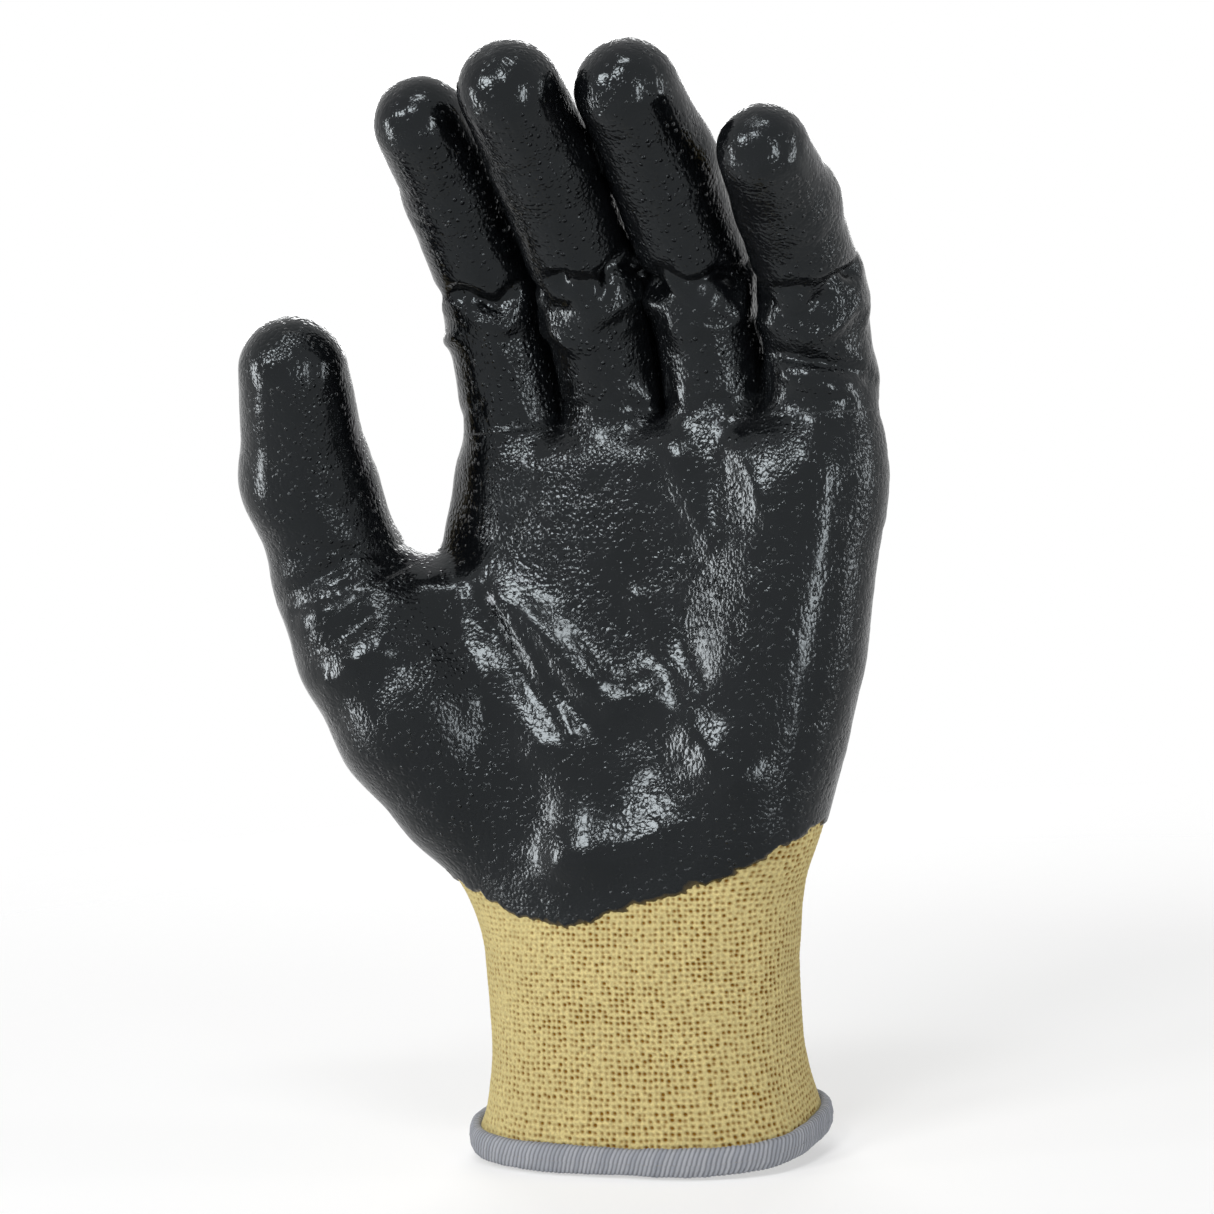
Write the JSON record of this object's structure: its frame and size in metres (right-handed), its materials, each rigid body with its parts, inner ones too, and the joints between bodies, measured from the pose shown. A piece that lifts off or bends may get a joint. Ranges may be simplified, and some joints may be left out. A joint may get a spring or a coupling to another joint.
{
  "type": "cut resistant glove",
  "caption": "Left-hand knitted work glove with a dark dipped palm and fingertips, a ribbed knit cuff and an overlocked hem; its fingers, thumb and wrist bend at their folds.",
  "frame": {"origin": "middle of the cuff opening, at the lower edge of the hem", "axes": "+Z from the cuff to the fingers, -Y out of the palm, -X to the thumb side"},
  "size_m": [0.1358, 0.0773, 0.2272],
  "materials": {
    "aramid_knit": "knitted",
    "nitrile_coating": "pebbled foam coating with a low sheen",
    "coated_knit": "coated knit",
    "overlock_thread": "thread",
    "elastic_yarn": "matt"
  },
  "bodies": {
    "cuff": {"cuff_knit": "aramid_knit", "cuff_elastic": "elastic_yarn", "cuff_hem": "overlock_thread"},
    "palm": {"wrist_bend": "aramid_knit", "palm_liner": "aramid_knit", "palm_coating": "nitrile_coating"},
    "index_proximal": {"index_root_bend": "coated_knit", "index_proximal_liner": "aramid_knit", "index_proximal_coating": "nitrile_coating"},
    "index_middle": {"index_middle_bend": "coated_knit", "index_middle_liner": "aramid_knit", "index_middle_coating": "nitrile_coating"},
    "index_tip": {"index_tip_bend": "coated_knit", "index_tip_liner": "aramid_knit", "index_tip_coating": "nitrile_coating"},
    "middle_proximal": {"middle_root_bend": "coated_knit", "middle_proximal_liner": "aramid_knit", "middle_proximal_coating": "nitrile_coating"},
    "middle_middle": {"middle_middle_bend": "coated_knit", "middle_middle_liner": "aramid_knit", "middle_middle_coating": "nitrile_coating"},
    "middle_tip": {"middle_tip_bend": "coated_knit", "middle_tip_liner": "aramid_knit", "middle_tip_coating": "nitrile_coating"},
    "ring_proximal": {"ring_root_bend": "coated_knit", "ring_proximal_liner": "aramid_knit", "ring_proximal_coating": "nitrile_coating"},
    "ring_middle": {"ring_middle_bend": "coated_knit", "ring_middle_liner": "aramid_knit", "ring_middle_coating": "nitrile_coating"},
    "ring_tip": {"ring_tip_bend": "coated_knit", "ring_tip_liner": "aramid_knit", "ring_tip_coating": "nitrile_coating"},
    "little_proximal": {"little_root_bend": "coated_knit", "little_proximal_liner": "aramid_knit", "little_proximal_coating": "nitrile_coating"},
    "little_middle": {"little_middle_bend": "coated_knit", "little_middle_liner": "aramid_knit", "little_middle_coating": "nitrile_coating"},
    "little_tip": {"little_tip_bend": "coated_knit", "little_tip_liner": "aramid_knit", "little_tip_coating": "nitrile_coating"},
    "thumb_proximal": {"thumb_root_bend": "coated_knit", "thumb_proximal_liner": "aramid_knit", "thumb_proximal_coating": "nitrile_coating"},
    "thumb_tip": {"thumb_tip_bend": "coated_knit", "thumb_tip_liner": "aramid_knit", "thumb_tip_coating": "nitrile_coating"}
  },
  "joints": [
    {"name": "wrist_fold", "type": "hinge", "parent": "cuff", "child": "palm", "pos_m": [0, 0, 0.034], "axis": [1, 0, 0], "range_deg": [-40, 40], "stiffness_Nm_per_rad": 0.6, "deforming": ["wrist_bend"]},
    {"name": "index_root_fold", "type": "hinge", "parent": "palm", "child": "index_proximal", "pos_m": [-0.0222, 0.002, 0.157], "axis": [1, 0, 0], "range_deg": [-18, 52], "stiffness_Nm_per_rad": 0.03, "deforming": ["index_root_bend"]},
    {"name": "index_middle_fold", "type": "hinge", "parent": "index_proximal", "child": "index_middle", "pos_m": [-0.0222, -0.00542, 0.17983], "axis": [1, 0, 0], "range_deg": [-17, 63], "stiffness_Nm_per_rad": 0.015, "deforming": ["index_middle_bend"]},
    {"name": "index_tip_fold", "type": "hinge", "parent": "index_middle", "child": "index_tip", "pos_m": [-0.0222, -0.02033, 0.20112], "axis": [1, 0, 0], "range_deg": [-11, 34], "stiffness_Nm_per_rad": 0.008, "deforming": ["index_tip_bend"]},
    {"name": "middle_root_fold", "type": "hinge", "parent": "palm", "child": "middle_proximal", "pos_m": [0.0016, 0.002, 0.157], "axis": [1, 0, 0], "range_deg": [-25, 45], "stiffness_Nm_per_rad": 0.03, "deforming": ["middle_root_bend"]},
    {"name": "middle_middle_fold", "type": "hinge", "parent": "middle_proximal", "child": "middle_middle", "pos_m": [0.00184, -0.00941, 0.18147], "axis": [1, 0, 0], "range_deg": [-14, 66], "stiffness_Nm_per_rad": 0.015, "deforming": ["middle_middle_bend"]},
    {"name": "middle_tip_fold", "type": "hinge", "parent": "middle_middle", "child": "middle_tip", "pos_m": [0.0021, -0.02829, 0.20478], "axis": [1, 0, 0], "range_deg": [-9, 36], "stiffness_Nm_per_rad": 0.008, "deforming": ["middle_tip_bend"]},
    {"name": "ring_root_fold", "type": "hinge", "parent": "palm", "child": "ring_proximal", "pos_m": [0.0246, 0.002, 0.156], "axis": [1, 0, 0], "range_deg": [-15, 55], "stiffness_Nm_per_rad": 0.03, "deforming": ["ring_root_bend"]},
    {"name": "ring_middle_fold", "type": "hinge", "parent": "ring_proximal", "child": "ring_middle", "pos_m": [0.02438, -0.00447, 0.18015], "axis": [1, 0, 0], "range_deg": [-20, 60], "stiffness_Nm_per_rad": 0.015, "deforming": ["ring_middle_bend"]},
    {"name": "ring_tip_fold", "type": "hinge", "parent": "ring_middle", "child": "ring_tip", "pos_m": [0.02414, -0.02053, 0.20308], "axis": [1, 0, 0], "range_deg": [-11, 34], "stiffness_Nm_per_rad": 0.008, "deforming": ["ring_tip_bend"]},
    {"name": "little_root_fold", "type": "hinge", "parent": "palm", "child": "little_proximal", "pos_m": [0.047, 0.002, 0.157], "axis": [1, 0, 0], "range_deg": [-18, 52], "stiffness_Nm_per_rad": 0.03, "deforming": ["little_root_bend"]},
    {"name": "little_middle_fold", "type": "hinge", "parent": "little_proximal", "child": "little_middle", "pos_m": [0.04847, -0.00447, 0.17692], "axis": [1, 0, 0], "range_deg": [-24, 56], "stiffness_Nm_per_rad": 0.015, "deforming": ["little_middle_bend"]},
    {"name": "little_tip_fold", "type": "hinge", "parent": "little_middle", "child": "little_tip", "pos_m": [0.04993, -0.01849, 0.19249], "axis": [1, 0, 0], "range_deg": [-14, 31], "stiffness_Nm_per_rad": 0.008, "deforming": ["little_tip_bend"]},
    {"name": "thumb_root_fold", "type": "hinge", "parent": "palm", "child": "thumb_proximal", "pos_m": [-0.05978, -0.01107, 0.12086], "axis": [-0.396, -0.8493, -0.3491], "range_deg": [-31, 24], "stiffness_Nm_per_rad": 0.045, "deforming": ["thumb_root_bend"]},
    {"name": "thumb_tip_fold", "type": "hinge", "parent": "thumb_proximal", "child": "thumb_tip", "pos_m": [-0.06312, -0.01876, 0.14334], "axis": [-0.396, -0.8493, -0.3491], "range_deg": [-42, 18], "stiffness_Nm_per_rad": 0.012, "deforming": ["thumb_tip_bend"]}
  ]
}
